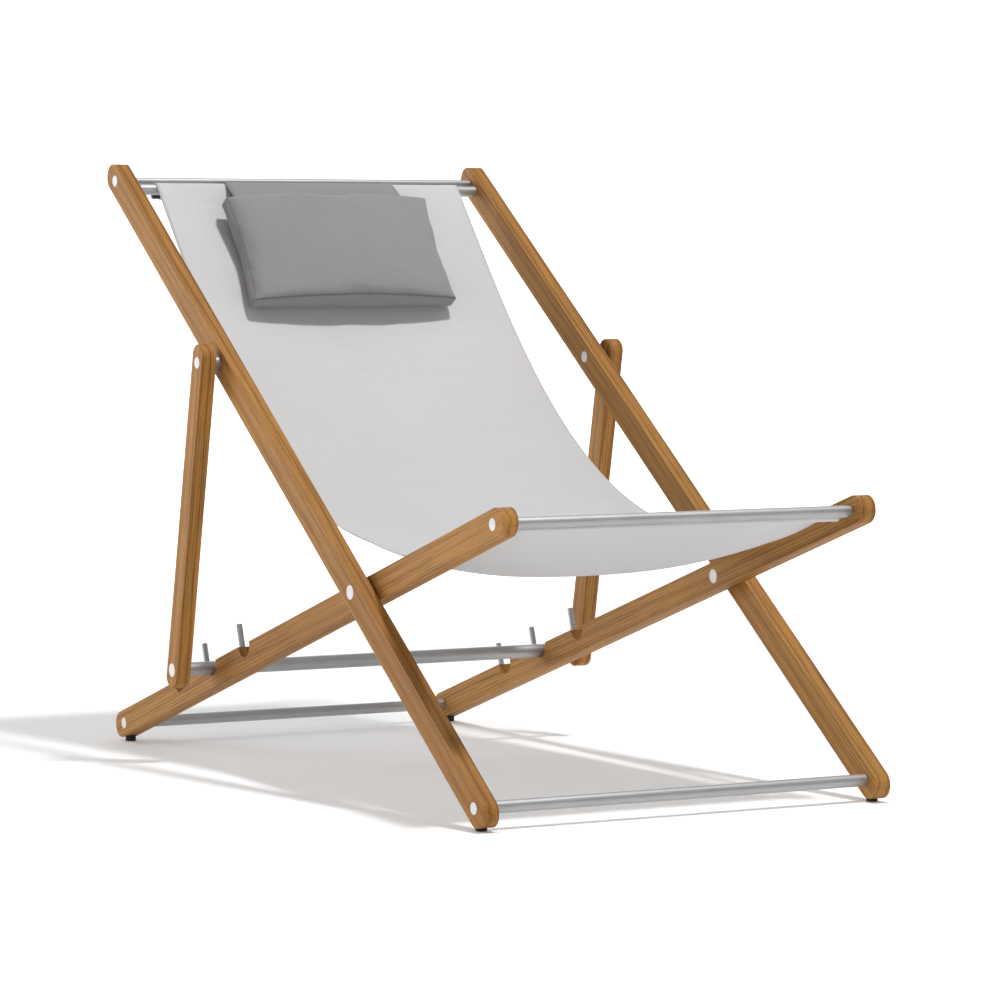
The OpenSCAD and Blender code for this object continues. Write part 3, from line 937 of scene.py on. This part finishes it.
class DECKCHAIR_OT_flap(bpy.types.Operator):
    """Makes the pillow's flap over the sling tube, with the weight in its hem"""
    bl_idname = "deckchair.flap"
    bl_label = "Pillow Flap"

    def execute(self, context):
        cloth, metal = context.scene.deck_cloth, context.scene.deck_metal
        weight = side(middle("flap_weight")) + Vector((2 * MM, 0))
        line = [(p, STILL, STILL) for p in self.line(cloth, weight)]
        bm, run, _ = woven_sheet(line, [FLAP_HALF * (i / 12 - 1) for i in range(25)])
        bmesh.ops.recalc_face_normals(bm, faces=bm.faces)
        finish = finish_of("flap_grey", flap_cloth, cloth)
        made = piece("pillow_flap_cloth", bm, finish, ["pillow_flap"], even=False)
        skin = made.modifiers.new("Cloth thickness", "SOLIDIFY")
        skin.thickness, skin.offset = FLAP_THICK, 0
        low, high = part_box("flap_weight")
        bm = bmesh.new()
        outline = bar_outline(low.x, high.x, reach("flap_weight"), metal.edge)
        turned(bm, outline, across(weight), metal.sides)
        brushed = finish_of("brushed_steel", steel, metal, 0)
        bar = piece("flap_weight_steel", bm, brushed, ["flap_weight"])
        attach(made, BACK)
        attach(bar, BACK)
        return {"FINISHED"}

    def line(self, cloth, weight):
        """The flap in the side view: from the pillow, over the tube and rod, down, and round the weight."""
        tube, rod = side(middle("sling_tube")), side(middle("sling_rod_top"))
        over = reach("sling_tube") + cloth.thick + FLAP_THICK
        around = reach("sling_rod_top") + cloth.thick + FLAP_THICK
        leave = touching(tube, over, rod, around, 1)
        seam = side(pillow_place() @ Vector((0, 2 * MM, GUSSET * 0.45)))
        lift = tube + over * ray(FLAP_LIFT)
        line = [seam + (lift - seam) * i / 6 for i in range(6)]
        line += arc(tube, over, FLAP_LIFT, leave)
        line += arc(rod, around, leave, 0)
        drop = weight.y + 18 * MM
        line += [Vector((rod.x + around, rod.y + (drop - rod.y) * i / 10)) for i in range(1, 11)]
        line += arc(weight, reach("flap_weight") + FLAP_THICK, 35, -290)
        return line


# ---- stage ----

CAMERA_AT = (-2.8605, -5.1598, 0.7233)
CAMERA_TURN = (math.pi / 2 - 0.0598, 0, -0.5127)
# Place, width, power in watts and aim of each lamp.
LAMPS = {
    "key": ((0.65, -1.6, 5.0), 0.5, 158, (0, 0, 0.35)),
    "side": ((-4.0, 3.6, 1.5), 2.6, 70, (0, 0, 0.4)),
}
FLOOR_HALF, FLOOR_BACK, WALL_TALL, WALL_BEND = 12, 7, 6, 2.5


class DECKCHAIR_OT_stage(bpy.types.Operator):
    """Sets the floor, the soft studio light and the camera"""
    bl_idname = "deckchair.stage"
    bl_label = "Stage"

    def execute(self, context):
        self.floor()
        self.world(context.scene)
        for name, given in LAMPS.items():
            self.lamp(name, *given)
        lens = bpy.data.cameras.new("camera")
        lens.lens, lens.sensor_width = 155.98, 36
        lens.clip_end = 60
        camera = bpy.data.objects.new("camera", lens)
        camera.location, camera.rotation_euler = CAMERA_AT, CAMERA_TURN
        context.scene.collection.objects.link(camera)
        context.scene.camera = camera
        context.scene.view_settings.view_transform = "Standard"
        return {"FINISHED"}

    def floor(self):
        """A pale floor that curves up into a backdrop. It glows: faintly near the chair, as painted light
        that lightens the shadows there, and fully far off, so that the backdrop reads white.
        """
        bm = bmesh.new()
        outline = ((-FLOOR_HALF, 0), (FLOOR_BACK, 0), (FLOOR_BACK, WALL_TALL))
        corners = [bm.verts.new((-FLOOR_HALF, y, z)) for y, z in outline]
        edges = [bm.edges.new(pair) for pair in zip(corners, corners[1:])]
        made = bmesh.ops.extrude_edge_only(bm, edges=edges)["geom"]
        far_side = [v for v in made if isinstance(v, bmesh.types.BMVert)]
        bmesh.ops.translate(bm, vec=(2 * FLOOR_HALF, 0, 0), verts=far_side)
        fold = [e for e in bm.edges if len(e.link_faces) == 2]
        bmesh.ops.bevel(bm, geom=fold, offset=WALL_BEND, offset_type="OFFSET", segments=16, profile=0.5,
                        affect="EDGES", clamp_overlap=False, material=-1)
        bmesh.ops.recalc_face_normals(bm, faces=bm.faces)
        mesh = bpy.data.meshes.new("floor")
        for face in bm.faces:
            face.smooth = True
        bm.to_mesh(mesh)
        bm.free()
        floor = bpy.data.objects.new("floor", mesh)
        bpy.context.scene.collection.objects.link(floor)
        pale = Finish("pale_glowing_floor", Roughness=0.8, Specular_IOR_Level=0.1)
        tint = pale.cloud(pale.place(), 3, 2)
        pale.feed("Base Color", pale.mixed(tint, (0.91, 0.91, 0.91, 1), (0.93, 0.93, 0.93, 1)))
        # Painted light: the floor glows, faintly near the chair to lighten its shadows and fully far off to
        # whiten the backdrop.
        x, y, _ = pale.parts(pale.place())
        far = (x * x + y * y).between(1.5, 14)
        pale.shader.inputs["Emission Strength"].default_value = 0.72
        pale.feed("Emission Color", pale.mixed(far, (0.12, 0.12, 0.12, 1), (1, 1, 1, 1)))
        mesh.materials.append(pale.material)

    def world(self, scene):
        """A sky that is brightest overhead and greyer at the horizon."""
        scene.world = bpy.data.worlds.new("studio")
        sky = Nodes(scene.world)
        way = sky.node("ShaderNodeTexCoord", {}, {}).outputs["Generated"]
        height = sky.node("ShaderNodeSeparateXYZ", {}, {0: way}).outputs[2]
        strength = sky.node("ShaderNodeMapRange", {}, {0: height, 1: 0.0, 2: 0.5, 3: 0.30, 4: 0.45})
        glow = sky.node("ShaderNodeBackground", {}, {"Color": (1, 1, 1, 1), "Strength": strength.outputs[0]})
        sky.node("ShaderNodeOutputWorld", {}, {"Surface": glow.outputs[0]})

    def lamp(self, name, at, size, watts, aim):
        light = bpy.data.lights.new(name, "AREA")
        light.shape, light.size, light.energy = "DISK", size, watts
        lamp = bpy.data.objects.new(name, light)
        lamp.location = at
        lamp.rotation_euler = (Vector(aim) - Vector(at)).to_track_quat("-Z", "Y").to_euler()
        bpy.context.scene.collection.objects.link(lamp)


# ---- add-on ----

class DECKCHAIR_PT_pieces(bpy.types.Panel):
    """Sizes, colours and the pieces in the order they are made"""
    bl_idname = "DECKCHAIR_PT_pieces"
    bl_label = "Deck Chair"
    bl_space_type = "VIEW_3D"
    bl_region_type = "UI"
    bl_category = "Deck Chair"

    def draw(self, context):
        for settings in (context.scene.deck_timber, context.scene.deck_metal, context.scene.deck_cloth):
            box = self.layout.box()
            for name in settings.__annotations__:
                box.prop(settings, name)
        for operator in OPERATORS:
            self.layout.operator(operator.bl_idname)


SETTINGS = {"deck_timber": TimberSettings, "deck_metal": MetalSettings, "deck_cloth": ClothSettings}
OPERATORS = (DECKCHAIR_OT_stage, DECKCHAIR_OT_timber, DECKCHAIR_OT_metalwork, DECKCHAIR_OT_caps,
             DECKCHAIR_OT_sling, DECKCHAIR_OT_pillow, DECKCHAIR_OT_flap)


def register():
    for made in (*SETTINGS.values(), *OPERATORS, DECKCHAIR_PT_pieces):
        bpy.utils.register_class(made)
    for name, settings in SETTINGS.items():
        setattr(bpy.types.Scene, name, PointerProperty(type=settings))


def unregister():
    for name in SETTINGS:
        delattr(bpy.types.Scene, name)
    for made in (DECKCHAIR_PT_pieces, *OPERATORS[::-1], *list(SETTINGS.values())[::-1]):
        bpy.utils.unregister_class(made)


def main():
    register()
    for operator in OPERATORS:
        getattr(bpy.ops.deckchair, operator.bl_idname.split(".")[1])()


if __name__ == "__main__":
    main()
